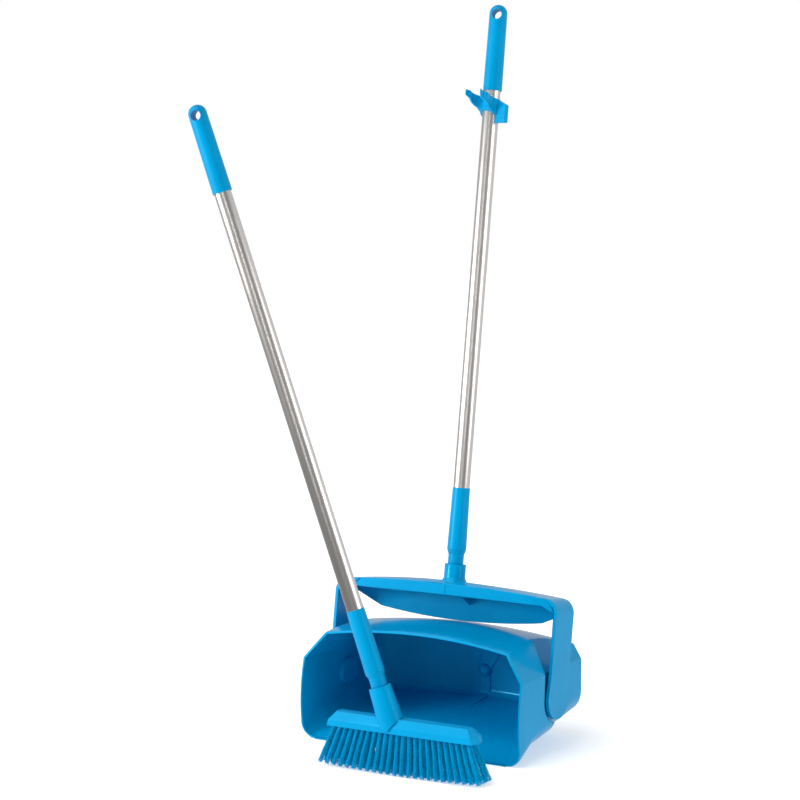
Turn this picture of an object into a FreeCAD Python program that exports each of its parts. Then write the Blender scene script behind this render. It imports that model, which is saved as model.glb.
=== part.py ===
"""Closable-pan lobby set: a dust pan hung in a bow with a long handle, and its broom.

Frame: +Z up, millimetres. X runs along the width of the pan, Y from the mouth to the
rear, and the origin lies on the floor under the middle of the pan's lip.
"""
import FreeCAD, Part
import math
import os

from FreeCAD import Placement, Rotation, Vector

SIZES = {
    # how far a cutting tool reaches past the surface it cuts
    "cut_past": 1.0,
    # pan shell
    "pan_width": 370.0,
    "pan_depth": 235.0,
    "wall": 3.0,
    "lip_corner": 23.0,
    "rear_corner": 42.0,
    "lip_land": 6.0,
    "lip_sink": 0.5,
    "lip_reach": 2.0,
    "ramp_depth": 42.0,
    "ramp_rise": 17.0,
    "rear_rise": 38.0,
    "shoulder_height": 121.0,
    "shoulder_slope": 1.266,
    "section_top": 195.0,
    "mouth_radius": 240.0,
    "mouth_height": 55.0,
    "mouth_bulge": 5.0,
    "back_radius": 540.0,
    "hood_height": 175.0,
    "hood_peak": 78.0,
    "hood_radius": 443.0,
    "hood_arch": 1020.0,
    "side_recess": 7.5,
    "collar_depth": 75.0,
    "collar_top": 102.0,
    "hood_edge": 164.0,
    "recess_radius": 37.0,
    "foot_offset": 92.0,
    "foot_width": 34.0,
    "foot_depth": 190.0,
    "foot_length": 24.0,
    # boss, flare and channel on the back wall
    "boss_height": 79.0,
    "back_boss": 11.0,
    "channel_width": 14.0,
    "flare_width": 140.0,
    "floor_fillet": 12.0,
    "relief": 2.0,
    "floor_rib": 68.0,
    # pivots and bow
    "pivot_depth": 110.0,
    "pivot_height": 82.0,
    "pivot_boss": 20.0,
    "stud_radius": 14.0,
    "stud_play": 0.06,
    "stud_length": 11.5,
    "lean": 8.8,
    "arm_width": 56.0,
    "arm_end": 32.0,
    "arm_thickness": 5.3,
    "bow_width": 378.0,
    "bow_corner": 21.0,
    "bow_shoulder": 143.0,
    "front_crown": 148.0,
    "ridge_crown": 153.5,
    "rear_crown": 150.0,
    "ridge_offset": 12.0,
    "bow_wall": 3.0,
    "petal_bulge": 8.0,
    "petal_reach": 2.0,
    "end_flare": 1.1,
    "rib_thickness": 2.0,
    "rib_rise": 8.0,
    "socket_rib_depth": 23.0,
    "side_rib_depth": 12.0,
    "side_rib_across": 105.0,
    "collar_flare": 5.0,
    "collar_height": 9.0,
    "ridge_width": 2.4,
    "ridge_margin": 1.0,
    "fascia_edge": 131.5,
    "skirt_middle": 93.0,
    "skirt_side": 102.5,
    "skirt_side_across": 138.0,
    "skirt_end": 123.5,
    "socket_radius": 16.0,
    "socket_top": 178.0,
    "socket_bottom": 140.0,
    # handles
    "spigot_radius": 10.0,
    "spigot_length": 22.0,
    "neck_radius": 11.75,
    "neck_length": 14.5,
    "cone_length": 6.5,
    "ferrule_foot": 14.3,
    "ferrule_head": 13.0,
    "ferrule_length": 93.0,
    "tube_radius": 12.3,
    "tube_wall": 1.4,
    "tube_insert": 60.0,
    "fit_gap": 0.05,
    "grip_foot": 14.2,
    "grip_head": 13.4,
    "grip_length": 129.5,
    "grip_overlap": 92.0,
    "hang_radius": 7.5,
    "hang_drop": 15.5,
    "hang_turn": 15.0,
    "pan_tube_span": 596.0,
    "broom_tube_span": 618.0,
    # clip on the pan's handle
    "clip_station": 848.5,
    "clip_turn": 12.0,
    "clip_height": 26.0,
    "clip_radius": 16.2,
    "clip_play": 0.08,
    "clip_wall": 3.0,
    "clip_top_slope": 0.25,
    "clip_foot_slope": 0.64,
    "cradle_radius": 12.6,
    "cradle_offset": 28.0,
    "cradle_opening": 50.0,
    "horn_reach": 44.0,
    "horn_half": 14.0,
    "lug_reach": 31.0,
    "lug_width": 8.0,
    "lug_drop": 9.0,
    "lug_end": 17.0,
    # broom
    "broom_across": 42.1,
    "broom_forward": 112.0,
    "broom_side_lean": 18.24,
    "broom_front_lean": 4.0,
    "block_middle": 58.0,
    "block_foot": 60.0,
    "block_band": 9.0,
    "block_height": 20.0,
    "block_length": 236.0,
    "block_depth": 34.0,
    "block_prow": 6.0,
    "block_top_length": 214.0,
    "block_top_depth": 16.0,
    "block_draft": 2.0,
    "broom_socket_head": 16.0,
    "broom_socket_foot": 19.5,
    "broom_socket_top": 67.0,
    "socket_tip_rise": 12.0,
    "tuft_rows": 4,
    "tuft_columns": 24,
    "tuft_span": 218.0,
    "tuft_row_pitch": 6.8,
    "tuft_length": 59.85,
    "tuft_root": 2.3,
    "tuft_tip": 4.0,
    "tuft_hole": 2.4,
    "tuft_depth": 8.0,
    "tuft_stem": 6.0,
    "wire_radius": 0.5,
    "fan_angle": 21.0,
    "splay_angle": 6.0,
}

X_AXIS = Vector(1, 0, 0)
Y_AXIS = Vector(0, 1, 0)
Z_AXIS = Vector(0, 0, 1)
BEYOND = 40.0

doc = FreeCAD.newDocument("dust_pan_and_broom")
sheet = doc.addObject("Spreadsheet::Sheet", "sizes")
for row, (alias, value) in enumerate(SIZES.items(), start=1):
    sheet.set(f"A{row}", alias)
    sheet.set(f"B{row}", str(value))
    sheet.setAlias(f"B{row}", alias)
doc.recompute()


def size(alias):
    """A driving dimension, read from the sheet."""
    return float(sheet.get(alias))


def add_shape(label, shape, placement=None):
    """Store a shape made with Part's own functions as a sub-part."""
    node = doc.addObject("Part::Feature", label)
    node.Label = label
    node.Shape = shape
    if placement is not None:
        node.Placement = placement
    return node


def add_solid(kind, name, at=None, **sizes):
    """A Part primitive whose properties are bound to expressions on the sheet."""
    solid = doc.addObject(kind, name)
    for prop, expression in sizes.items():
        solid.setExpression(prop, expression)
    if at is not None:
        solid.setExpression(".Placement.Base.z", at)
    return solid


# ---------------------------------------------------------------- outlines

def face_from(edges):
    return Part.Face(Part.Wire(Part.__sortEdges__(edges)))


def line(a, b):
    return Part.makeLine(a, b)


def arc(a, middle, b):
    return Part.Arc(a, middle, b).toShape()


def plate_yz(edges, half_width):
    """Extrude an outline drawn in the YZ plane across the whole width."""
    face = face_from(edges)
    face.translate(Vector(-half_width, 0, 0))
    return face.extrude(Vector(2 * half_width, 0, 0))


def prism(points, direction):
    """Extrude a polygon along a direction."""
    return Part.Face(Part.makePolygon(points + points[:1])).extrude(direction)


def cylinder_x(radius, y, z, x_from, x_to):
    return Part.makeCylinder(radius, x_to - x_from, Vector(x_from, y, z), X_AXIS)


# ---------------------------------------------------------------- pan shell

def floor_height(y):
    """Height of the pan's underside: lip, short ramp, then a gentle rise to the rear."""
    land, ramp, rear = size("lip_land"), size("ramp_depth"), size("pan_depth")
    low, middle, high = -size("lip_sink"), size("ramp_rise"), size("rear_rise")
    if y <= land:
        return low
    if y <= ramp:
        return low + (y - land) * (middle - low) / (ramp - land)
    return middle + (y - ramp) * (high - middle) / (rear - ramp)


def corner_radius(y):
    """The lower side corners open out from the lip to the rear."""
    share = max(0.0, y) / size("pan_depth")
    return size("lip_corner") + share * (size("rear_corner") - size("lip_corner"))


def pan_section(y, half, inset):
    """Cross-section of the pan at depth y: rounded below, chamfered above."""
    bottom = floor_height(y) + inset
    radius = corner_radius(y) - inset
    slope = size("shoulder_slope")
    shoulder = size("shoulder_height") - inset * (math.hypot(1, slope) - slope)
    top = size("section_top")
    top_half = half - (top - shoulder) / slope
    knee = radius * (1 - math.sqrt(0.5))
    right = [line(Vector(0, y, bottom), Vector(half - radius, y, bottom)),
             arc(Vector(half - radius, y, bottom), Vector(half - knee, y, bottom + knee),
                 Vector(half, y, bottom + radius)),
             line(Vector(half, y, bottom + radius), Vector(half, y, shoulder)),
             line(Vector(half, y, shoulder), Vector(top_half, y, top)),
             line(Vector(top_half, y, top), Vector(0, y, top))]
    left = [edge.mirror(Vector(0, 0, 0), X_AXIS) for edge in right]
    return Part.Wire(Part.__sortEdges__(right + left))


def hood_solid(inset):
    """The space under the domed top: an arched profile turned about a low cross axis."""
    peak_y = size("hood_peak")
    axis_z = size("hood_height") - size("hood_radius")
    crown = size("hood_height") - inset
    half = size("pan_width") / 2 + BEYOND
    edge = crown - half ** 2 / (2 * size("hood_arch"))
    foot_left = Vector(-half, peak_y, axis_z)
    foot_right = Vector(half, peak_y, axis_z)
    left = Vector(-half, peak_y, edge)
    right = Vector(half, peak_y, edge)
    profile = face_from([line(foot_left, left), arc(left, Vector(0, peak_y, crown), right),
                         line(right, foot_right), line(foot_right, foot_left)])
    return profile.revolve(Vector(0, peak_y, axis_z), X_AXIS, 360)


def pan_block(halves, inset):
    """Lofted body of the pan between the mouth, the hood and the back, all inset."""
    sections = [pan_section(y, half, inset) for y, half in halves]
    body = Part.makeLoft(sections, True, True)
    return body.common(hood_solid(inset)).common(back_cylinder(inset))


def recess_zone():
    """Side view of the region behind the collar, where the bow's arms lie flush."""
    pivot_y, pivot_z = size("pivot_depth"), size("pivot_height")
    radius = size("recess_radius")
    far = size("pan_depth") + BEYOND
    low, high = -BEYOND, size("section_top") + BEYOND
    slant = (size("collar_top") - size("collar_depth")) / (size("hood_edge") - size("shoulder_height"))
    top_y = size("collar_depth") + slant * (high - size("shoulder_height"))
    corners = [Vector(0, pivot_y, low), Vector(0, pivot_y, pivot_z - radius),
               Vector(0, pivot_y - radius, pivot_z),
               Vector(0, size("collar_depth"), size("shoulder_height")),
               Vector(0, top_y, high), Vector(0, far, high), Vector(0, far, low)]
    diagonal = radius * math.sqrt(0.5)
    edges = [line(corners[0], corners[1]),
             arc(corners[1], Vector(0, pivot_y - diagonal, pivot_z - diagonal), corners[2])]
    edges += [line(a, b) for a, b in zip(corners[2:], corners[3:] + corners[:1])]
    return plate_yz(edges, size("pan_width"))


def back_outline(grow):
    """Front view of the channel, boss and flare on the back wall, extruded through it."""
    half = size("channel_width") / 2 + grow
    flare = size("flare_width") / 2 + grow
    boss_z, hood, top = size("boss_height"), size("hood_height"), size("section_top")
    y = size("pan_depth") - 1.5 * BEYOND
    right = [Vector(half, y, 0), Vector(half, y, boss_z), Vector(flare, y, hood), Vector(flare, y, top)]
    left = [Vector(-point.x, y, point.z) for point in reversed(right)]
    return prism(right + left, Y_AXIS * (2 * BEYOND))


def back_cylinder(inset):
    back_y = size("pan_depth") - size("back_radius")
    return Part.makeCylinder(size("back_radius") - inset, 2 * size("section_top"),
                             Vector(0, back_y, -size("section_top")))


def pan_foot(side):
    """A hollow moulded foot under the rear of the pan."""
    wall = size("wall")
    width, length = size("foot_width"), size("foot_length")
    height = floor_height(size("foot_depth")) + wall / 2
    corner = Vector(side * size("foot_offset") - width / 2, size("foot_depth"), 0)
    outer = Part.makeBox(width, length, height, corner)
    inner = Part.makeBox(width - 2 * wall, length - 2 * wall, height - wall,
                         corner + Vector(wall, wall, 0))
    return outer.cut(inner)


def make_pan_shell():
    """The one-piece moulded pan."""
    wall = size("wall")
    half = size("pan_width") / 2
    narrow = half - size("side_recess")
    start, rear = -BEYOND / 2, size("pan_depth") + BEYOND
    land, ramp, collar = size("lip_land"), size("ramp_depth"), size("collar_depth")
    wide_body = pan_block([(y, half) for y in (start, land, ramp, rear)], 0)
    slim_body = pan_block([(y, narrow) for y in (start, land, ramp, rear)], 0)
    outer = wide_body.cut(recess_zone().cut(slim_body))
    flare = (narrow - half) / collar
    cavity = pan_block([(y, half - wall + flare * y) for y in (start, land, ramp)]
                       + [(collar, narrow - wall), (rear, narrow - wall)], wall)
    seam = [edge for edge in cavity.Edges
            if edge.BoundBox.YMin > size("foot_depth") and edge.BoundBox.ZMax < size("boss_height")]
    cavity = cavity.Solids[0].makeFillet(size("floor_fillet"), seam)
    relief = size("relief")
    groove = back_outline(0).cut(back_cylinder(relief))
    pad = back_outline(wall / 2).common(back_cylinder(wall / 2)).cut(back_cylinder(wall + relief))
    shell = outer.cut(cavity).cut(groove).fuse(pad.common(outer))

    back_y = size("pan_depth") - wall
    back_boss = Part.makeSphere(size("back_boss"), Vector(0, back_y + wall / 2, size("boss_height")))
    shell = shell.fuse(back_boss.common(back_cylinder(wall / 2)))
    rib_y = back_y - size("floor_rib")
    corners = [Vector(0, rib_y, floor_height(rib_y) + wall / 2),
               Vector(0, back_y, floor_height(back_y) + wall / 2),
               Vector(0, back_y, floor_height(back_y) + wall + relief),
               Vector(0, rib_y, floor_height(rib_y) + wall)]
    edges = [line(a, b) for a, b in zip(corners, corners[1:] + corners[:1])]
    shell = shell.fuse(plate_yz(edges, size("channel_width") / 2))

    pivot_y, pivot_z = size("pivot_depth"), size("pivot_height")
    for side in (-1, 1):
        boss = cylinder_x(size("pivot_boss"), pivot_y, pivot_z,
                          narrow - 3 * wall, narrow - wall / 2)
        bore = cylinder_x(size("stud_radius") + size("stud_play"), pivot_y, pivot_z,
                          narrow - 2 * wall, narrow + wall)
        if side < 0:
            boss = boss.mirror(Vector(0, 0, 0), X_AXIS)
            bore = bore.mirror(Vector(0, 0, 0), X_AXIS)
        shell = shell.fuse(boss).cut(bore)
        shell = shell.fuse(pan_foot(side))

    mouth = cylinder_x(size("mouth_radius"), size("mouth_radius") - size("mouth_bulge"),
                       size("mouth_height"), -half - BEYOND, half + BEYOND)
    lip = Part.makeBox(2 * (half - size("lip_corner")), half, wall,
                       Vector(size("lip_corner") - half, -size("lip_reach"), 0))
    ground = Part.makeBox(4 * half, 4 * half, BEYOND, Vector(-2 * half, -half, -BEYOND))
    shell = shell.common(mouth.fuse(lip)).cut(ground)
    return add_shape("pan_shell", shell.removeSplitter())


# ---------------------------------------------------------------- bow

def bow_section(y, crown, inset_side, inset_top):
    """Front view of the bow's outline at depth y, closed straight across below."""
    half = size("bow_width") / 2 - inset_side
    shoulder = size("bow_shoulder") - inset_top
    radius = size("bow_corner") - inset_side
    low = -size("arm_end") - (BEYOND if inset_side else 0)
    knee = radius * (1 - math.sqrt(0.5))
    crown_z = crown - inset_top
    lift = (crown_z - shoulder) / 2
    right = [line(Vector(0, y, low), Vector(half, y, low)),
             line(Vector(half, y, low), Vector(half, y, shoulder - radius)),
             arc(Vector(half, y, shoulder - radius),
                 Vector(half - knee, y, shoulder - knee), Vector(half - radius, y, shoulder)),
             arc(Vector(half - radius, y, shoulder),
                 Vector((half - radius) / 2, y, shoulder + lift * 1.5), Vector(0, y, crown_z))]
    left = [edge.mirror(Vector(0, 0, 0), X_AXIS) for edge in right]
    return Part.Wire(Part.__sortEdges__(right + left))


def bow_body(inset_side, inset_top, reach):
    """Loft of the bow's outline from the front edge over the ridge to the rear."""
    stations = [(-reach, size("front_crown")), (-size("ridge_offset"), size("ridge_crown")),
                (reach, size("rear_crown"))]
    wires = [bow_section(y, crown, inset_side, inset_top) for y, crown in stations]
    return Part.makeLoft(wires, True, True)


def arm_outline():
    """Side view of an arm: parallel edges that open into the round lower end."""
    half = size("arm_width") / 2
    radius = size("arm_end")
    waist = radius * size("end_flare")
    high = size("socket_top")
    edges = [arc(Vector(0, -radius, 0), Vector(0, 0, -radius), Vector(0, radius, 0)),
             line(Vector(0, radius, 0), Vector(0, half, waist)),
             line(Vector(0, half, waist), Vector(0, half, high)),
             line(Vector(0, half, high), Vector(0, -half, high)),
             line(Vector(0, -half, high), Vector(0, -half, waist)),
             line(Vector(0, -half, waist), Vector(0, -radius, 0))]
    return plate_yz(edges, size("pan_width"))


def hanging_plate(y_from, y_to, low_edges):
    """A plate under the bow's top between two depths, down to its lower edges."""
    ends = [edge.Vertexes[end].Point for edge in low_edges for end in (0, -1)]
    left = min(ends, key=lambda point: point.x)
    right = max(ends, key=lambda point: point.x)
    high_left = Vector(left.x, 0, size("socket_top"))
    high_right = Vector(right.x, 0, size("socket_top"))
    sides = [line(right, high_right), line(high_right, high_left), line(high_left, left)]
    plate = face_from(low_edges + sides)
    plate.translate(Vector(0, y_from, 0))
    return plate.extrude(Vector(0, y_to - y_from, 0))


def corner_petal(side):
    """A leaf-shaped lug on the front edge, where the crossbar turns into the arm."""
    front = -size("arm_width") / 2 - size("petal_reach")
    half = size("bow_width") / 2
    inner = Vector(half - 2 * size("bow_corner"), front, size("bow_shoulder"))
    outer = Vector(half - size("arm_thickness"), front, size("fascia_edge") - size("petal_bulge"))
    chord = outer - inner
    across = chord.cross(Y_AXIS)
    across.normalize()
    middle = (inner + outer) * 0.5
    leaf = face_from([arc(inner, middle + across * size("petal_bulge"), outer),
                      arc(outer, middle - across * size("petal_bulge") / 4, inner)])
    petal = leaf.extrude(Vector(0, size("petal_reach") + size("bow_wall") / 2, 0))
    if side < 0:
        petal = petal.mirror(Vector(0, 0, 0), X_AXIS)
    return petal


def bow_rib(x, depth):
    """A triangular rib under the crossbar, from its front edge down to the skirt."""
    reach = (size("arm_width") - size("bow_wall")) / 2
    top = size("socket_bottom")
    left = x - size("rib_thickness") / 2
    corners = [Vector(left, -reach, top), Vector(left, reach, top + size("rib_rise")),
               Vector(left, reach, top - depth)]
    return prism(corners, X_AXIS * size("rib_thickness"))


def make_bow():
    """The one-piece bow: arms with studs, channel-shaped crossbar and handle socket."""
    half = size("bow_width") / 2
    reach = size("arm_width") / 2
    wall = size("bow_wall")
    envelope = bow_body(0, 0, size("arm_end"))
    hollow = bow_body(size("arm_thickness"), wall, size("arm_end") + BEYOND)
    outline = arm_outline()
    bow = envelope.cut(hollow).common(outline)
    inner_half = half - size("arm_thickness") / 2
    fascia_low = size("fascia_edge")
    fascia_line = line(Vector(-inner_half, 0, fascia_low), Vector(inner_half, 0, fascia_low))
    fascia = hanging_plate(-reach, -reach + wall, [fascia_line])
    across, rim = size("skirt_side_across"), size("skirt_side")
    corners = [Vector(side * across, 0, rim) for side in (-1, 1)]
    ends = [Vector(side * inner_half, 0, size("skirt_end")) for side in (-1, 1)]
    sag = arc(corners[0], Vector(0, 0, size("skirt_middle")), corners[1])
    skirt = hanging_plate(reach - wall, reach,
                          [line(ends[0], corners[0]), sag, line(corners[1], ends[1])])
    bow = bow.fuse(fascia.common(envelope)).fuse(skirt.common(envelope))
    bow = bow.fuse(bow_rib(size("socket_radius"), size("socket_rib_depth")).common(envelope))
    for side in (-1, 1):
        rib = bow_rib(side * size("side_rib_across"), size("side_rib_depth"))
        bow = bow.fuse(rib.common(envelope))

    socket = Part.makeCylinder(size("socket_radius"), size("socket_top") - size("socket_bottom"),
                               Vector(0, 0, size("socket_bottom")))
    flare = size("collar_flare")
    collar = Part.makeCone(size("socket_radius") + flare, size("socket_radius"), size("collar_height"),
                           Vector(0, 0, size("ridge_crown") - flare))
    ridge_width, margin = size("ridge_width"), size("ridge_margin")
    ridge = Part.makeBox(ridge_width, ridge_width, size("front_crown") - fascia_low - 2 * margin,
                         Vector(-ridge_width / 2, -reach - ridge_width / 2, fascia_low + margin))
    bow = bow.fuse(socket).fuse(collar).fuse(ridge)
    bow = bow.cut(spigot_bore(size("socket_top")))
    for side in (-1, 1):
        bow = bow.fuse(corner_petal(side))
        x_from = side * (half - size("arm_thickness") / 2)
        x_to = side * (half - size("arm_thickness") - size("stud_length"))
        stud = cylinder_x(size("stud_radius"), 0, 0, min(x_from, x_to), max(x_from, x_to))
        bow = bow.fuse(stud)
    return add_shape("bow", bow, handle_placement())


def spigot_bore(top):
    """The bore of a handle socket whose rim lies at the height top."""
    past = size("cut_past")
    depth = size("spigot_length") + past
    radius = size("spigot_radius") + size("fit_gap")
    return Part.makeCylinder(radius, depth + past, Vector(0, 0, top - depth))


def handle_placement():
    """Frame of the bow and its handle: the pivot axis, leaning back."""
    return Placement(Vector(0, size("pivot_depth"), size("pivot_height")),
                     Rotation(X_AXIS, -size("lean")))


def broom_placement():
    """Frame of the broom's handle: the point where its axis leaves the brush block."""
    side = math.radians(size("broom_side_lean"))
    front = math.radians(size("broom_front_lean"))
    direction = Vector(-math.sin(side), -math.sin(front) * math.cos(side),
                       math.cos(front) * math.cos(side))
    base = Vector(size("broom_across"), -size("broom_forward"), size("block_foot"))
    return Placement(base, Rotation(Z_AXIS, direction))


# ---------------------------------------------------------------- handles

def make_ferrule(prefix, station):
    """The moulded lower end of a handle: spigot, neck, short cone and long barrel."""
    spigot = add_solid("Part::Cylinder", f"{prefix}_spigot", f"{station} - sizes.spigot_length",
                       Radius="sizes.spigot_radius", Height="sizes.spigot_length + sizes.cut_past")
    neck = add_solid("Part::Cylinder", f"{prefix}_neck", station,
                     Radius="sizes.neck_radius", Height="sizes.neck_length")
    cone = add_solid("Part::Cone", f"{prefix}_cone", f"{station} + sizes.neck_length",
                     Radius1="sizes.neck_radius", Radius2="sizes.ferrule_foot",
                     Height="sizes.cone_length")
    barrel = add_solid("Part::Cone", f"{prefix}_barrel",
                       f"{station} + sizes.neck_length + sizes.cone_length",
                       Radius1="sizes.ferrule_foot", Radius2="sizes.ferrule_head",
                       Height="sizes.ferrule_length")
    body = doc.addObject("Part::MultiFuse", f"{prefix}_ferrule_body")
    body.Shapes = [spigot, neck, cone, barrel]
    body.Refine = True
    head = f"{station} + sizes.neck_length + sizes.cone_length + sizes.ferrule_length"
    bore = add_solid("Part::Cylinder", f"{prefix}_bore", f"{head} - sizes.tube_insert",
                     Radius="sizes.tube_radius + sizes.fit_gap",
                     Height="sizes.tube_insert + sizes.cut_past")
    ferrule = doc.addObject("Part::Cut", f"{prefix}_ferrule")
    ferrule.Base = body
    ferrule.Tool = bore
    return ferrule, head


def make_tube(prefix, head, span):
    """The drawn aluminium tube between the ferrule and the grip, inside both."""
    start = f"{head} - sizes.tube_insert"
    length = f"sizes.tube_insert + {span} + sizes.grip_overlap"
    outside = add_solid("Part::Cylinder", f"{prefix}_tube_outside", start,
                        Radius="sizes.tube_radius", Height=length)
    inside = add_solid("Part::Cylinder", f"{prefix}_tube_inside", start,
                       Radius="sizes.tube_radius - sizes.tube_wall", Height=length)
    tube = doc.addObject("Part::Cut", f"{prefix}_tube")
    tube.Base = outside
    tube.Tool = inside
    return tube


def make_grip(prefix, head, span):
    """The moulded grip over the tube's end, with a domed top and a hanging hole."""
    start = f"{head} + {span}"
    body = add_solid("Part::Cone", f"{prefix}_grip_body", start,
                     Radius1="sizes.grip_foot", Radius2="sizes.grip_head",
                     Height="sizes.grip_length - sizes.grip_head")
    dome = add_solid("Part::Sphere", f"{prefix}_grip_dome",
                     f"{start} + sizes.grip_length - sizes.grip_head",
                     Radius="sizes.grip_head")
    solid = doc.addObject("Part::MultiFuse", f"{prefix}_grip_solid")
    solid.Shapes = [body, dome]
    bore = add_solid("Part::Cylinder", f"{prefix}_grip_bore", f"{start} - sizes.cut_past",
                     Radius="sizes.tube_radius + sizes.fit_gap",
                     Height="sizes.grip_overlap + 1.5 * sizes.cut_past")
    hang = add_solid("Part::Cylinder", f"{prefix}_hang", None,
                     Radius="sizes.hang_radius", Height="4 * sizes.grip_foot")
    hang.Placement = Placement(Vector(), Rotation(Z_AXIS, size("hang_turn")) * Rotation(X_AXIS, 90))
    turn = math.radians(size("hang_turn"))
    reach = 2 * size("grip_foot")
    hang.setExpression(".Placement.Base.x", f"{-reach * math.sin(turn)}")
    hang.setExpression(".Placement.Base.y", f"{reach * math.cos(turn)}")
    hang.setExpression(".Placement.Base.z", f"{start} + sizes.grip_length - sizes.hang_drop")
    tools = doc.addObject("Part::MultiFuse", f"{prefix}_grip_tools")
    tools.Shapes = [bore, hang]
    grip = doc.addObject("Part::Cut", f"{prefix}_grip")
    grip.Base = solid
    grip.Tool = tools
    return grip


def make_handle(prefix, station, span, placement):
    ferrule, head = make_ferrule(prefix, station)
    parts = [ferrule, make_tube(prefix, head, span), make_grip(prefix, head, span)]
    for piece in parts:
        piece.Placement = placement
    return parts


# ---------------------------------------------------------------- clip

def clip_horn(side):
    """One flared lead-in at the cradle's mouth, seen from above."""
    opening = math.radians(size("cradle_opening"))
    root = Vector(size("cradle_offset") + size("cradle_radius") * math.cos(opening),
                  side * size("cradle_radius") * math.sin(opening), 0)
    tip = Vector(size("horn_reach"), side * size("horn_half"), 0)
    outward = (tip - root).cross(Z_AXIS) * -side
    outward.normalize()
    wall = size("clip_wall")
    points = [root, tip, tip + outward * (wall / 2), root + outward * wall]
    return prism(points, Z_AXIS * size("horn_reach") * 2)


def make_clip():
    """The snap-on holder: a collar round the tube, a flared cradle for the broom, and a lug."""
    radius, wall, offset = size("clip_radius"), size("clip_wall"), size("cradle_offset")
    inner, tip, tall = size("cradle_radius"), size("horn_reach"), 2 * size("horn_reach")
    height, top, foot = size("clip_height"), size("clip_top_slope"), size("clip_foot_slope")
    collar = Part.makeCylinder(radius, tall)
    cradle = Part.makeCylinder(inner + wall, tall, Vector(offset, 0, 0))
    web = Part.makeBox(offset, 2 * inner, tall, Vector(0, -inner, 0))
    opening = math.radians(size("cradle_opening"))
    edge = Vector(offset + inner * math.cos(opening), inner * math.sin(opening), 0)
    mouth = [Vector(offset, 0, 0), edge, Vector(tip + wall, size("horn_half"), 0),
             Vector(tip + wall, -size("horn_half"), 0), Vector(edge.x, -edge.y, 0)]
    clip = collar.fuse(cradle).fuse(web).cut(prism(mouth, Z_AXIS * tall))
    clip = clip.fuse(clip_horn(1)).fuse(clip_horn(-1))
    profile = [Vector(-tip, -tip, 0), Vector(0, -tip, 0), Vector(tip, -tip, tip * foot),
               Vector(tip + wall, -tip, tip * foot), Vector(tip + wall, -tip, height + tip * top),
               Vector(-tip, -tip, height - tip * top)]
    clip = clip.common(prism(profile, Y_AXIS * (2 * tip)))
    half, end, drop = size("lug_width") / 2, size("lug_reach"), size("lug_drop")
    lug = [Vector(-half, inner, -drop), Vector(-half, end, -drop), Vector(-half, end, size("lug_end")),
           Vector(-half, inner, height)]
    clip = clip.fuse(prism(lug, X_AXIS * (2 * half)))
    bore = Part.makeCylinder(size("tube_radius") + size("clip_play"), 2 * tall, Vector(0, 0, -tall))
    slot = Part.makeCylinder(inner, 2 * tall, Vector(offset, 0, -tall))
    clip = clip.cut(bore).cut(slot)
    clip.rotate(Vector(0, 0, 0), Z_AXIS, -90 - size("clip_turn"))
    clip.translate(Vector(0, 0, size("clip_station")))
    return add_shape("handle_clip", clip.removeSplitter(), handle_placement())


# ---------------------------------------------------------------- brush

def long_hexagon(length, depth, prow, z):
    """Plan outline of the block: straight long sides, pointed ends."""
    half, side = length / 2, depth / 2
    points = [Vector(-half, -side, z), Vector(half, -side, z), Vector(half + prow, 0, z),
              Vector(half, side, z), Vector(-half, side, z), Vector(-half - prow, 0, z)]
    return Part.makePolygon(points + points[:1])


def tuft_frames():
    """Yield row number, root point and direction of every tuft."""
    rows, columns = int(size("tuft_rows")), int(size("tuft_columns"))
    for row in range(rows):
        row_share = 2 * row / (rows - 1) - 1
        for column in range(columns):
            share = 2 * column / (columns - 1) - 1
            root = Vector(size("block_middle") + share * size("tuft_span") / 2,
                          -size("broom_forward") + row_share * size("tuft_row_pitch") * (rows - 1) / 2,
                          size("block_foot"))
            fan = math.radians(size("fan_angle") * share)
            splay = math.radians(size("splay_angle") * row_share)
            direction = Vector(math.tan(fan), math.tan(splay), -1)
            direction.normalize()
            yield row, root, direction


def make_brush_block():
    """The moulded block with its handle socket, drilled for the tufts."""
    foot, band = size("block_foot"), size("block_band")
    bottom = long_hexagon(size("block_length"), size("block_depth"), size("block_prow"), foot)
    draft = size("block_draft")
    waist = long_hexagon(size("block_length") - 2 * draft, size("block_depth") - draft,
                         size("block_prow") - draft / 2, foot + band)
    top = long_hexagon(size("block_top_length"), size("block_top_depth"),
                       size("block_prow") / 2, foot + size("block_height"))
    block = Part.makeLoft([bottom, waist], True, True).fuse(Part.makeLoft([waist, top], True, True))
    block.translate(Vector(size("block_middle"), -size("broom_forward"), 0))
    place = broom_placement()
    low, head, radius = band / 2, size("broom_socket_top"), size("broom_socket_foot")
    shoulder = low + size("socket_tip_rise")
    socket = Part.makeCone(radius, size("broom_socket_head"), head - low, Vector(0, 0, low))
    tongue = [Vector(0, -radius, low), Vector(radius, -radius, shoulder), Vector(radius, -radius, head),
              Vector(-radius, -radius, head), Vector(-radius, -radius, shoulder)]
    socket = socket.common(prism(tongue, Y_AXIS * (2 * radius)))
    bore = spigot_bore(head)
    socket.Placement = place
    bore.Placement = place
    block = block.fuse(socket).cut(bore)
    reach = size("block_length")
    below = Part.makeBox(2 * reach, 2 * reach, foot, Vector(-reach, -reach - size("broom_forward"), 0))
    block = block.cut(below).removeSplitter()
    holes = [Part.makeCylinder(size("tuft_hole"), 2 * size("tuft_depth"),
                               root + direction * size("tuft_depth"), -direction)
             for _, root, direction in tuft_frames()]
    return add_shape("brush_block", block.cut(Part.makeCompound(holes)))


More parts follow.
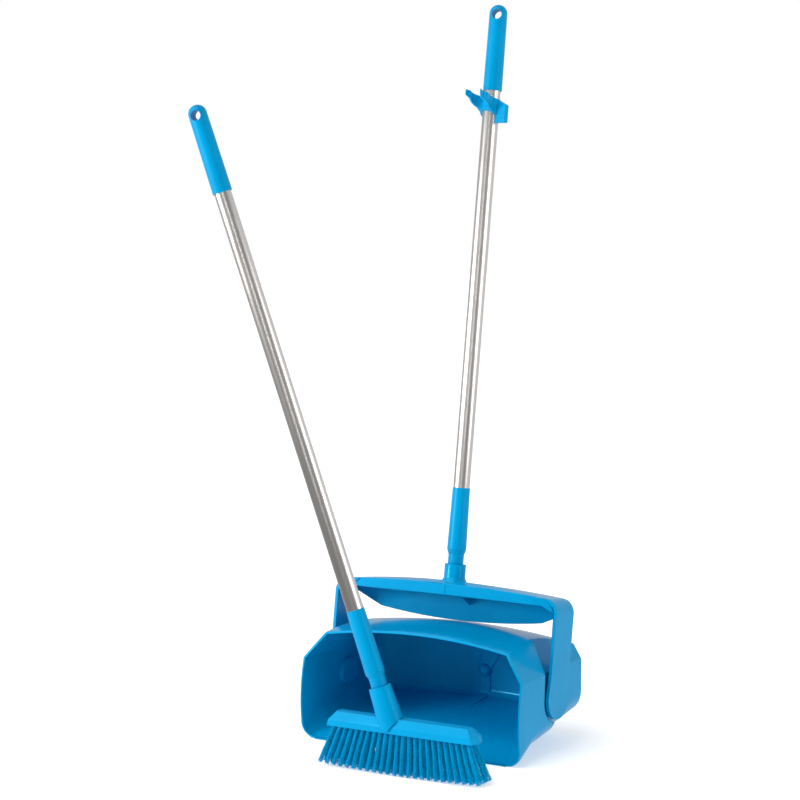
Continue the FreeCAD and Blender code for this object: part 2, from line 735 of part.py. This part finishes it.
def make_tufts():
    """One node per row of bristle tufts, and one for the anchors that hold them."""
    rows = {}
    anchors = []
    for row, root, direction in tuft_frames():
        length = size("tuft_length")
        fan = Part.makeCone(size("tuft_root"), size("tuft_tip"), length, root, direction)
        stem = Part.makeCylinder(size("tuft_root"), size("tuft_stem"), root, -direction)
        rows.setdefault(row, []).append(fan.fuse(stem).removeSplitter())
        across = direction.cross(Y_AXIS)
        across.normalize()
        middle = root - direction * ((size("tuft_stem") + size("tuft_depth")) / 2)
        half = size("tuft_root") - size("wire_radius") / 2
        anchors.append(Part.makeCylinder(size("wire_radius"), 2 * half, middle - across * half, across))
    nodes = [add_shape(f"tufts_row_{row + 1}", Part.makeCompound(tufts))
             for row, tufts in rows.items()]
    nodes.append(add_shape("tuft_anchors", Part.makeCompound(anchors)))
    return nodes


# ---------------------------------------------------------------- assembly

pieces = [make_pan_shell(), make_bow()]
pieces += make_handle("pan", "sizes.socket_top", "sizes.pan_tube_span", handle_placement())
pieces.append(make_clip())
pieces.append(make_brush_block())
pieces += make_tufts()
pieces += make_handle("broom", "sizes.broom_socket_top", "sizes.broom_tube_span", broom_placement())
doc.recompute()

for item in doc.Objects:
    if "Invalid" in item.State or "Error" in item.State:
        raise RuntimeError(f"{item.Name} did not recompute")
for piece in pieces:
    if piece.Shape.isNull() or not piece.Shape.isValid():
        raise RuntimeError(f"{piece.Label} has no valid shape")

os.makedirs("parts", exist_ok=True)
for piece in pieces:
    piece.Shape.exportStep(f"parts/{piece.Label}.step")
    box = piece.Shape.BoundBox
    print(f"{piece.Label:16s} {len(piece.Shape.Solids):4d} solids  {piece.Shape.Volume / 1000:8.1f} cm3"
          f"  x {box.XMin:7.1f} {box.XMax:7.1f}  y {box.YMin:7.1f} {box.YMax:7.1f}"
          f"  z {box.ZMin:7.1f} {box.ZMax:7.1f}")
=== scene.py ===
"""Looks of the lobby dust pan and its broom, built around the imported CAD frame. Metres, +Z up."""

import math
import random

import bmesh
import bpy
from mathutils import Euler, Matrix, Vector


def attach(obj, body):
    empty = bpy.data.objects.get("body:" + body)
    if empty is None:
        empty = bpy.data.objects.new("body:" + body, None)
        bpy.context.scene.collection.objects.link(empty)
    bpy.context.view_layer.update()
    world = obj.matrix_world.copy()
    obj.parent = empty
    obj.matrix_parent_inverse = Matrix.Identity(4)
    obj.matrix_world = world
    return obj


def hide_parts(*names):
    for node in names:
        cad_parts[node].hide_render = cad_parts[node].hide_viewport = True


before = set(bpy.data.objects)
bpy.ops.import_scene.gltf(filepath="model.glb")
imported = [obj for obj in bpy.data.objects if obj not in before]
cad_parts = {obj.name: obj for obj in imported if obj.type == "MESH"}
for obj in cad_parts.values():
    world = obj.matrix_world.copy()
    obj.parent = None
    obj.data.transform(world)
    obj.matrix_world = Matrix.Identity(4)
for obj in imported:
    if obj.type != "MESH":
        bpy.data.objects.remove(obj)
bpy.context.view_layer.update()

MM = 0.001

# Camera at the photograph's viewing angle.
CAMERA_PLACE = Vector((1.9279, -3.2627, 0.9586))
CAMERA_AZIMUTH = math.radians(30.77)
CAMERA_PITCH = math.radians(6.63)
CAMERA_LENS = 119.4

# Frames of the two handles, as in the CAD source.
PIVOT = Vector((0, 110, 82)) * MM
LEAN = math.radians(8.8)
BROOM_FOOT = Vector((42.1, -112, 60)) * MM
BROOM_SIDE_LEAN = math.radians(18.24)
BROOM_FRONT_LEAN = math.radians(4)

# Sizes shared by both handles.
NECK_RADIUS = 11.75 * MM
NECK_LENGTH = 14.5 * MM
CONE_LENGTH = 6.5 * MM
FERRULE_FOOT = 14.3 * MM
FERRULE_HEAD = 13 * MM
FERRULE_LENGTH = 93 * MM
SHOULDER_INSET = 0.5 * MM
SHOULDER_DROP = 1.2 * MM
SHOULDER_RISE = 1.5 * MM
SPIGOT_RADIUS = 10 * MM
SPIGOT_LENGTH = 22 * MM
TUBE_RADIUS = 12.3 * MM
TUBE_WALL = 1.4 * MM
TUBE_INSERT = 60 * MM
FIT_GAP = 0.05 * MM
GRIP_FOOT = 14.2 * MM
GRIP_HEAD = 13.4 * MM
GRIP_LENGTH = 129.5 * MM
GRIP_OVERLAP = 92 * MM
HANG_RADIUS = 7.5 * MM
HANG_DROP = 15.5 * MM
HANG_TURN = math.radians(15)
PAN_SOCKET_TOP = 178 * MM
PAN_TUBE_SPAN = 596 * MM
BROOM_SOCKET_TOP = 67 * MM
BROOM_TUBE_SPAN = 618 * MM

# Brush.
TUFT_ROWS = 4
TUFT_COLUMNS = 24
TUFT_SPAN = 218 * MM
TUFT_PITCH = 6.8 * MM
TUFT_LENGTH = 59.85 * MM
TUFT_ROOT = 2.2 * MM
TUFT_TIP = 3.9 * MM
TUFT_DEPTH = 5 * MM
FAN_ANGLE = math.radians(21)
SPLAY_ANGLE = math.radians(6)
BLOCK_MIDDLE = 58 * MM
BRISTLES = 60
BRISTLE_RADIUS = 0.26 * MM
BRISTLE_SIDES = 4
BRISTLE_RINGS = 6
TIP_THINNING = 0.35
GOLDEN_ANGLE = 2.39996
TUFT_CURL = 0.9 * MM
BRISTLE_WAVE = 0.35 * MM
UNEVEN_CUT = 1.6 * MM
SPREAD_POWER = 1.6
DRAW_SEED = 7

# Mesh detail.
RING = 96
DOME_STEPS = 16
FERRULE_ROUNDING = 0.6 * MM
TUBE_ROUNDING = 0.4 * MM
GRIP_ROUNDING = 0.7 * MM
BORE_ROOM = 0.5 * MM


# ---------------------------------------------------------------- materials

def new_material(name):
    """A node material, its Principled shader and a helper that adds linked nodes."""
    material = bpy.data.materials.new(name)
    material.use_nodes = True
    tree = material.node_tree
    shader = tree.nodes["Principled BSDF"]

    def add(kind, inputs=None, **settings):
        node = tree.nodes.new(kind)
        for key, value in settings.items():
            setattr(node, key, value)
        for key, value in (inputs or {}).items():
            if isinstance(value, bpy.types.NodeSocket):
                tree.links.new(value, node.inputs[key])
            else:
                node.inputs[key].default_value = value
        return node

    def link(output, socket):
        tree.links.new(output, shader.inputs[socket])

    return material, shader, add, link


def ramp(add, source, low, high, start, end):
    """A two-colour ramp between two positions."""
    node = add("ShaderNodeValToRGB", {"Fac": source})
    node.color_ramp.elements[0].position = start
    node.color_ramp.elements[1].position = end
    node.color_ramp.elements[0].color = (*low, 1)
    node.color_ramp.elements[1].color = (*high, 1)
    return node.outputs["Color"]


def span(add, source, low, high):
    """A 0 to 1 value mapped to a range."""
    node = add("ShaderNodeMapRange", {"Value": source, "To Min": low, "To Max": high})
    return node.outputs["Result"]


# Colours of the moulded plastic: pigment, a painted highlight on its sharp edges and the tint of its
# reflections.
BLUE_DEEP = (0.0, 0.262, 0.53)
BLUE_LIGHT = (0.0, 0.300, 0.60)
BLUE_EDGE_HIGHLIGHT = (0.0, 0.45, 0.74)
SHINE = (0.05, 0.58, 0.95)


def plastic(name, rough, grain=0.15):
    """Glossy moulded plastic: cloudy pigment, a painted pale highlight along sharp edges, faint scuffs
    and fine grain.
    """
    material, shader, add, link = new_material(name)
    place = add("ShaderNodeTexCoord").outputs["Object"]
    cloud = add("ShaderNodeTexNoise", {"Vector": place, "Scale": 14.0, "Detail": 4.0, "Roughness": 0.6})
    pigment = ramp(add, cloud.outputs["Fac"], BLUE_DEEP, BLUE_LIGHT, 0.3, 0.7)
    # Sharp convex edges are painted a paler blue: a painted highlight along the rims.
    edge = add("ShaderNodeNewGeometry").outputs["Pointiness"]
    painted_highlight = add("ShaderNodeMapRange", {"Value": edge, "From Min": 0.54, "From Max": 0.66,
                                      "To Max": 0.35})
    # Inputs 0, 6 and 7 of a colour mix are its factor and its two colours, and output 2 is the result.
    mixer = add("ShaderNodeMix", {0: painted_highlight.outputs["Result"], 6: pigment, 7: (*BLUE_EDGE_HIGHLIGHT, 1)},
                data_type="RGBA")
    link(mixer.outputs[2], "Base Color")

    scuff = add("ShaderNodeTexNoise", {"Vector": place, "Scale": 45.0, "Detail": 4.0, "Roughness": 0.6})
    link(span(add, scuff.outputs["Fac"], rough - 0.04, rough + 0.05), "Roughness")
    fine = add("ShaderNodeTexNoise", {"Vector": place, "Scale": 900.0, "Detail": 2.0})
    skin = add("ShaderNodeBump", {"Height": fine.outputs["Fac"], "Strength": grain,
                                  "Distance": 0.02 * MM})
    link(skin.outputs["Normal"], "Normal")
    shader.inputs["IOR"].default_value = 1.5
    shader.inputs["Specular IOR Level"].default_value = 0.45
    shader.inputs["Specular Tint"].default_value = (*SHINE, 1)
    return material


def aluminium(name):
    """Drawn and anodised tube: fine lines along the axis, dull patches, soft anisotropic shine."""
    material, shader, add, link = new_material(name)
    place = add("ShaderNodeTexCoord").outputs["Object"]
    drawn = add("ShaderNodeMapping", {"Vector": place, "Scale": (1.0, 1.0, 0.006)})
    lines = add("ShaderNodeTexNoise", {"Vector": drawn.outputs["Vector"], "Scale": 1500.0,
                                       "Detail": 5.0, "Roughness": 0.7})
    cloud = add("ShaderNodeTexNoise", {"Vector": place, "Scale": 18.0, "Detail": 3.0})
    dark, bright = (0.76, 0.725, 0.69), (0.88, 0.86, 0.84)
    link(ramp(add, lines.outputs["Fac"], dark, bright, 0.3, 0.7), "Base Color")
    both = add("ShaderNodeMath", {0: lines.outputs["Fac"], 1: cloud.outputs["Fac"]},
               operation="MULTIPLY")
    link(span(add, both.outputs["Value"], 0.26, 0.46), "Roughness")
    relief = add("ShaderNodeBump", {"Height": lines.outputs["Fac"], "Strength": 0.25,
                                    "Distance": 0.04 * MM})
    link(relief.outputs["Normal"], "Normal")
    shader.inputs["Metallic"].default_value = 1.0
    shader.inputs["Anisotropic"].default_value = 0.45
    return material


def bristle_fibre(name):
    """Extruded polyester bristle: tone varies from one bristle to the next."""
    material, shader, add, link = new_material(name)
    place = add("ShaderNodeTexCoord").outputs["Object"]
    strand = add("ShaderNodeTexNoise", {"Vector": place, "Scale": 420.0, "Detail": 3.0})
    deep, light = (0.0, 0.31, 0.60), (0.0, 0.50, 0.86)
    link(ramp(add, strand.outputs["Fac"], deep, light, 0.32, 0.68), "Base Color")
    fleck = add("ShaderNodeTexNoise", {"Vector": place, "Scale": 900.0, "Detail": 2.0})
    link(span(add, fleck.outputs["Fac"], 0.26, 0.5), "Roughness")
    relief = add("ShaderNodeBump", {"Height": fleck.outputs["Fac"], "Strength": 0.3,
                                    "Distance": 0.05 * MM})
    link(relief.outputs["Normal"], "Normal")
    shader.inputs["Specular Tint"].default_value = (*SHINE, 1)
    return material


def wire_metal(name):
    """Steel anchor wire."""
    material, shader, add, link = new_material(name)
    place = add("ShaderNodeTexCoord").outputs["Object"]
    tone = add("ShaderNodeTexNoise", {"Vector": place, "Scale": 700.0, "Detail": 3.0})
    dark, bright = (0.42, 0.42, 0.42), (0.62, 0.61, 0.6)
    link(ramp(add, tone.outputs["Fac"], dark, bright, 0.3, 0.7), "Base Color")
    link(span(add, tone.outputs["Fac"], 0.25, 0.5), "Roughness")
    relief = add("ShaderNodeBump", {"Height": tone.outputs["Fac"], "Strength": 0.2,
                                    "Distance": 0.04 * MM})
    link(relief.outputs["Normal"], "Normal")
    shader.inputs["Metallic"].default_value = 1.0
    return material


PAN_PLASTIC = plastic("pan_plastic_look", 0.18)
BOW_PLASTIC = plastic("bow_plastic_look", 0.2)
CLIP_PLASTIC = plastic("clip_plastic_look", 0.34)
BLOCK_PLASTIC = plastic("block_plastic_look", 0.32)
FERRULE_PLASTIC = plastic("ferrule_plastic_look", 0.33)
GRIP_PLASTIC = plastic("grip_plastic_look", 0.42, grain=0.6)
ALUMINIUM = aluminium("aluminium_look")
BRISTLE = bristle_fibre("bristle_look")
WIRE = wire_metal("anchor_wire_look")


# ---------------------------------------------------------------- mesh helpers

SMOOTH_ANGLE = math.radians(14)
FLAT_ANGLE = math.radians(0.5)
SHARP_ANGLE = math.radians(22)
WELD = 1e-6


def finish_piece(name, bm, material, body, nodes, matrix=None, smooth_angle=SMOOTH_ANGLE):
    """Turn a bmesh into a piece that rides on a body and stands for its CAD nodes."""
    mesh = bpy.data.meshes.new(name)
    bm.to_mesh(mesh)
    bm.free()
    mesh.polygons.foreach_set("use_smooth", [True] * len(mesh.polygons))
    mesh.set_sharp_from_angle(angle=smooth_angle)
    mesh.materials.append(material)
    piece = bpy.data.objects.new(name, mesh)
    bpy.context.scene.collection.objects.link(piece)
    if matrix is not None:
        piece.matrix_world = matrix
    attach(piece, body)
    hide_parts(*nodes)
    return piece


def moulded(name, node, material, body, rounding):
    """The CAD solid's own shape with its flat areas merged and its sharp edges rounded."""
    bm = bmesh.new()
    bm.from_mesh(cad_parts[node].data)
    bmesh.ops.remove_doubles(bm, verts=bm.verts, dist=WELD)
    bmesh.ops.dissolve_limit(bm, angle_limit=FLAT_ANGLE, verts=bm.verts, edges=bm.edges)
    sharp = [edge for edge in bm.edges if edge.is_manifold
             and edge.calc_face_angle() > SHARP_ANGLE and edge.calc_length() > rounding]
    bmesh.ops.bevel(bm, geom=sharp, offset=rounding, offset_type="OFFSET", segments=2, profile=0.5,
                    affect="EDGES", clamp_overlap=False)
    return finish_piece(name, bm, material, body, [node])


def rounded(points, radius, steps=4):
    """A profile of (radius, height) points with all but its end points rounded by small curves."""
    result = [points[0]]
    for before, corner, after in zip(points, points[1:], points[2:]):
        corner, before, after = Vector(corner), Vector(before), Vector(after)
        into, out = (corner - before), (after - corner)
        reach = min(radius, into.length / 2.2, out.length / 2.2)
        start, end = corner - into.normalized() * reach, corner + out.normalized() * reach
        for step in range(steps + 1):
            share = step / steps
            point = start.lerp(corner, share).lerp(corner.lerp(end, share), share)
            result.append(tuple(point))
    result.append(points[-1])
    return result


def turned(profile, closed, sides=RING):
    """A surface of revolution about Z: an open profile ends on the axis, a closed one is a ring."""
    bm = bmesh.new()
    rings = []
    for radius, height in profile:
        if radius < WELD:
            rings.append([bm.verts.new((0, 0, height))])
            continue
        rings.append([bm.verts.new((radius * math.cos(turn), radius * math.sin(turn), height))
                      for turn in (2 * math.pi * i / sides for i in range(sides))])
    pairs = list(zip(rings, rings[1:]))
    if closed:
        pairs.append((rings[-1], rings[0]))
    for low, high in pairs:
        for i in range(sides):
            j = (i + 1) % sides
            corners = [low[i % len(low)], low[j % len(low)], high[j % len(high)], high[i % len(high)]]
            unique = list(dict.fromkeys(corners))
            if len(unique) > 2:
                bm.faces.new(unique)
    bmesh.ops.recalc_face_normals(bm, faces=bm.faces)
    return bm


def handle_matrix(base, direction):
    """Place a handle's own frame, whose Z runs up the handle."""
    turn = Vector((0, 0, 1)).rotation_difference(direction)
    return Matrix.Translation(base) @ turn.to_matrix().to_4x4()


PAN_AXIS = Vector((0, math.sin(LEAN), math.cos(LEAN)))
BROOM_AXIS = Vector((-math.sin(BROOM_SIDE_LEAN),
                     -math.sin(BROOM_FRONT_LEAN) * math.cos(BROOM_SIDE_LEAN),
                     math.cos(BROOM_FRONT_LEAN) * math.cos(BROOM_SIDE_LEAN)))
PAN_HANDLE = handle_matrix(PIVOT, PAN_AXIS)
BROOM_HANDLE = handle_matrix(BROOM_FOOT, BROOM_AXIS)


# ---------------------------------------------------------------- handles

def make_ferrule(prefix, station, body, matrix):
    """Moulded ferrule: spigot, neck, rounded cone and long barrel, bored for the tube."""
    shoulder = station + NECK_LENGTH
    foot = shoulder + CONE_LENGTH
    head = foot + FERRULE_LENGTH
    bore = TUBE_RADIUS + FIT_GAP
    outline = [(0, station - SPIGOT_LENGTH), (SPIGOT_RADIUS, station - SPIGOT_LENGTH),
               (SPIGOT_RADIUS, station), (NECK_RADIUS, station), (NECK_RADIUS, shoulder),
               (FERRULE_FOOT - SHOULDER_INSET, foot - SHOULDER_DROP),
               (FERRULE_FOOT, foot + SHOULDER_RISE), (FERRULE_HEAD, head),
               (bore, head), (bore, head - TUBE_INSERT), (0, head - TUBE_INSERT)]
    bm = turned(rounded(outline, FERRULE_ROUNDING), False)
    finish_piece(f"{prefix}_ferrule_moulding", bm, FERRULE_PLASTIC, body,
                 [f"{prefix}_ferrule"], matrix)
    return head


def make_tube(prefix, head, tube_span, body, matrix):
    """Drawn aluminium tube with softened ends, inside the ferrule and the grip."""
    low, high = head - TUBE_INSERT, head + tube_span + GRIP_OVERLAP
    inner = TUBE_RADIUS - TUBE_WALL
    middle = (TUBE_RADIUS + inner) / 2
    outline = [(middle, low), (TUBE_RADIUS, low), (TUBE_RADIUS, high), (inner, high), (inner, low),
               (middle, low)]
    bm = turned(rounded(outline, TUBE_ROUNDING)[:-1], True)
    finish_piece(f"{prefix}_tube_metal", bm, ALUMINIUM, body,
                 [f"{prefix}_tube"], matrix)


def grip_blank(start):
    """The grip before its hanging hole is cut: slight taper, domed end, blind bore."""
    dome = start + GRIP_LENGTH - GRIP_HEAD
    bore = TUBE_RADIUS + FIT_GAP
    bore_end = start + GRIP_OVERLAP + BORE_ROOM
    outline = [(0, bore_end), (bore, bore_end), (bore, start), (GRIP_FOOT, start), (GRIP_HEAD, dome)]
    profile = rounded(outline, GRIP_ROUNDING)
    profile += [(GRIP_HEAD * math.cos(turn), dome + GRIP_HEAD * math.sin(turn))
                for turn in (math.pi / 2 * (i + 1) / DOME_STEPS for i in range(DOME_STEPS))]
    profile[-1] = (0, dome + GRIP_HEAD)
    return turned(profile, False)


def hanging_hole(start):
    """The cylinder that cuts the grip's hanging hole."""
    reach = 2 * GRIP_FOOT
    hole = turned([(0, -reach), (HANG_RADIUS, -reach), (HANG_RADIUS, reach), (0, reach)], False)
    hole.transform(Matrix.Translation((0, 0, start + GRIP_LENGTH - HANG_DROP))
                   @ Euler((math.pi / 2, 0, HANG_TURN)).to_matrix().to_4x4())
    return hole


def helper_object(name, bm):
    """A short-lived object for the modifiers to work on."""
    mesh = bpy.data.meshes.new(name)
    bm.to_mesh(mesh)
    bm.free()
    helper = bpy.data.objects.new(name, mesh)
    bpy.context.scene.collection.objects.link(helper)
    return helper


def make_grip(prefix, start, body, matrix):
    """Moulded grip with its hanging hole cut through and all rims rounded."""
    blank = helper_object(f"{prefix}_grip_blank", grip_blank(start))
    cutter = helper_object(f"{prefix}_grip_cutter", hanging_hole(start))
    cut = blank.modifiers.new("hole", "BOOLEAN")
    cut.object = cutter
    cut.operation = "DIFFERENCE"
    cut.solver = "EXACT"
    soft = blank.modifiers.new("rim", "BEVEL")
    soft.width = GRIP_ROUNDING
    soft.segments = 3
    soft.angle_limit = math.radians(45)
    bpy.context.view_layer.update()
    result = bmesh.new()
    result.from_mesh(blank.evaluated_get(bpy.context.evaluated_depsgraph_get()).to_mesh())
    for helper in (blank, cutter):
        bpy.data.objects.remove(helper)
    finish_piece(f"{prefix}_grip_moulding", result, GRIP_PLASTIC, body,
                 [f"{prefix}_grip"], matrix)


def make_handle(prefix, station, tube_span, body, matrix):
    """Ferrule, tube and grip of one handle, starting at its socket's rim."""
    head = make_ferrule(prefix, station, body, matrix)
    make_tube(prefix, head, tube_span, body, matrix)
    make_grip(prefix, head + tube_span, body, matrix)


# ---------------------------------------------------------------- bristles

def add_bristle(bm, points, radius):
    """One bristle as a slim tapering tube through its points."""
    rings = []
    for number, point in enumerate(points):
        thin = radius * (1 - TIP_THINNING * number / (len(points) - 1))
        rings.append([bm.verts.new(point + Vector((math.cos(turn), math.sin(turn), 0)) * thin)
                      for turn in (2 * math.pi * i / BRISTLE_SIDES for i in range(BRISTLE_SIDES))])
    for low, high in zip(rings, rings[1:]):
        for i in range(BRISTLE_SIDES):
            j = (i + 1) % BRISTLE_SIDES
            bm.faces.new((low[i], low[j], high[j], high[i]))
    bm.faces.new(rings[0][::-1])
    bm.faces.new(rings[-1])


def make_tuft(bm, root, direction, draw):
    """A bundle of bristles that spreads from its hole down to the floor."""
    side = direction.cross(Vector((0, 1, 0))).normalized()
    depth = side.cross(direction).normalized()
    curl = draw.uniform(-TUFT_CURL, TUFT_CURL)
    for number in range(BRISTLES):
        share = math.sqrt((number + 0.5) / BRISTLES)
        turn = number * GOLDEN_ANGLE + draw.uniform(-0.2, 0.2)
        outward = side * math.cos(turn) + depth * math.sin(turn)
        root_reach = (TUFT_ROOT - BRISTLE_RADIUS) * share
        tip_reach = (TUFT_TIP - BRISTLE_RADIUS) * share * draw.uniform(0.82, 1.0)
        wave = draw.uniform(-BRISTLE_WAVE, BRISTLE_WAVE)
        length = TUFT_LENGTH - draw.uniform(0.0, UNEVEN_CUT)
        points = []
        for step in range(BRISTLE_RINGS):
            along = step / (BRISTLE_RINGS - 1)
            reach = root_reach + (tip_reach - root_reach) * along ** SPREAD_POWER
            bend = curl * math.sin(math.pi * along) + wave * math.sin(2 * math.pi * along)
            place = root + direction * (length * along) + outward * reach + side * bend
            if step == 0:
                place = root - direction * TUFT_DEPTH + outward * root_reach
            points.append(place)
        add_bristle(bm, points, BRISTLE_RADIUS)


def make_tufts():
    """One piece for each row of bristle tufts."""
    draw = random.Random(DRAW_SEED)
    for row in range(TUFT_ROWS):
        bm = bmesh.new()
        row_share = 2 * row / (TUFT_ROWS - 1) - 1
        for column in range(TUFT_COLUMNS):
            share = 2 * column / (TUFT_COLUMNS - 1) - 1
            across = BLOCK_MIDDLE + share * TUFT_SPAN / 2
            depth = BROOM_FOOT.y + row_share * TUFT_PITCH * (TUFT_ROWS - 1) / 2
            fan, splay = math.tan(FAN_ANGLE * share), math.tan(SPLAY_ANGLE * row_share)
            root = Vector((across, depth, BROOM_FOOT.z))
            make_tuft(bm, root, Vector((fan, splay, -1)).normalized(), draw)
        bmesh.ops.recalc_face_normals(bm, faces=bm.faces)
        finish_piece(f"bristles_row_{row + 1}", bm, BRISTLE, "broom",
                     [f"tufts_row_{row + 1}"], smooth_angle=math.radians(60))


# ---------------------------------------------------------------- stage

FLOOR_REACH = 9
FLOOR_DROP = 0.4 * MM
STUDIO_FRONT = 0.2
STUDIO_BACK = 0.62


def add_area(name, place, target, width, height, power):
    """A soft rectangular studio light aimed at a point."""
    light = bpy.data.lights.new(name, "AREA")
    light.shape = "RECTANGLE"
    light.size = width
    light.size_y = height
    light.energy = power
    lamp = bpy.data.objects.new(name, light)
    bpy.context.scene.collection.objects.link(lamp)
    lamp.location = place
    lamp.rotation_euler = (Vector(target) - Vector(place)).to_track_quat("-Z", "Y").to_euler()


def make_floor():
    """Plain pale floor that glows a little, so that shadows on it stay faint."""
    bm = bmesh.new()
    bmesh.ops.create_grid(bm, x_segments=2, y_segments=2, size=FLOOR_REACH)
    mesh = bpy.data.meshes.new("studio_floor")
    bm.to_mesh(mesh)
    bm.free()
    material, shader, add, link = new_material("studio_floor_look")
    place = add("ShaderNodeTexCoord").outputs["Object"]
    tone = add("ShaderNodeTexNoise", {"Vector": place, "Scale": 3.0})
    dark, bright = (0.86, 0.86, 0.86), (0.88, 0.88, 0.88)
    link(ramp(add, tone.outputs["Fac"], dark, bright, 0.3, 0.7), "Base Color")
    shader.inputs["Roughness"].default_value = 0.9
    shader.inputs["Specular IOR Level"].default_value = 0.1
    shader.inputs["Emission Color"].default_value = (1, 1, 1, 1)
    shader.inputs["Emission Strength"].default_value = 0.4
    mesh.materials.append(material)
    floor = bpy.data.objects.new("studio_floor", mesh)
    bpy.context.scene.collection.objects.link(floor)
    floor.location.z = -FLOOR_DROP
    floor.visible_glossy = False


def make_lights():
    """Low key light into the pan's mouth, side box, strip for the tubes, broad light from above."""
    middle = (0, 0, 0.4)
    add_area("key_box", (-2.3, -2.3, 0.95), (0, 0, 0.1), 0.9, 0.9, 62)
    add_area("side_box", (2.8, 0.2, 1.0), middle, 1.0, 1.8, 22)
    add_area("tube_strip", (1.2, -3.1, 1.3), (0, 0, 0.6), 0.3, 2.0, 7)
    sun = bpy.data.lights.new("top_fill", "SUN")
    sun.energy = 2.0
    sun.angle = math.radians(60)
    holder = bpy.data.objects.new("top_fill", sun)
    bpy.context.scene.collection.objects.link(holder)
    holder.rotation_euler = Vector((-0.35, -0.55, 1.0)).to_track_quat("Z", "Y").to_euler()


def make_world():
    """Pale sweep behind the object, dim studio in front of it, plain white to the camera."""
    world = bpy.data.worlds.new("studio")
    world.use_nodes = True
    tree = world.node_tree
    direction = tree.nodes.new("ShaderNodeTexCoord")
    split = tree.nodes.new("ShaderNodeSeparateXYZ")
    tree.links.new(direction.outputs["Generated"], split.inputs["Vector"])
    sweep = tree.nodes.new("ShaderNodeMapRange")
    sweep.interpolation_type = "SMOOTHSTEP"
    sweep.inputs["From Min"].default_value = -0.2
    sweep.inputs["From Max"].default_value = 0.7
    sweep.inputs["To Min"].default_value = STUDIO_FRONT
    sweep.inputs["To Max"].default_value = STUDIO_BACK
    tree.links.new(split.outputs["Y"], sweep.inputs["Value"])
    light_path = tree.nodes.new("ShaderNodeLightPath")
    seen = tree.nodes.new("ShaderNodeMath")
    seen.operation = "MAXIMUM"
    tree.links.new(light_path.outputs["Is Camera Ray"], seen.inputs[0])
    tree.links.new(sweep.outputs["Result"], seen.inputs[1])
    background = tree.nodes["Background"]
    background.inputs["Color"].default_value = (1, 1, 1, 1)
    tree.links.new(seen.outputs["Value"], background.inputs["Strength"])
    bpy.context.scene.world = world


def make_camera():
    """The camera that shows the set as the photograph does."""
    camera = bpy.data.cameras.new("camera")
    camera.lens = CAMERA_LENS
    camera.clip_end = 30
    holder = bpy.data.objects.new("camera", camera)
    bpy.context.scene.collection.objects.link(holder)
    holder.location = CAMERA_PLACE
    holder.rotation_euler = (math.pi / 2 - CAMERA_PITCH, 0, CAMERA_AZIMUTH)
    bpy.context.scene.camera = holder


# ---------------------------------------------------------------- assembly

moulded("pan_moulding", "pan_shell", PAN_PLASTIC, "pan", 0.6 * MM)
moulded("bow_moulding", "bow", BOW_PLASTIC, "bow_and_handle", 0.6 * MM)
moulded("clip_moulding", "handle_clip", CLIP_PLASTIC, "clip", 0.3 * MM)
moulded("block_moulding", "brush_block", BLOCK_PLASTIC, "broom", 0.5 * MM)
make_handle("pan", PAN_SOCKET_TOP, PAN_TUBE_SPAN, "bow_and_handle", PAN_HANDLE)
make_handle("broom", BROOM_SOCKET_TOP, BROOM_TUBE_SPAN, "broom", BROOM_HANDLE)
make_tufts()
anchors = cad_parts["tuft_anchors"]
anchors.data.materials.clear()
anchors.data.materials.append(WIRE)
make_floor()
make_world()
make_lights()
make_camera()
bpy.context.scene.view_settings.view_transform = "Standard"
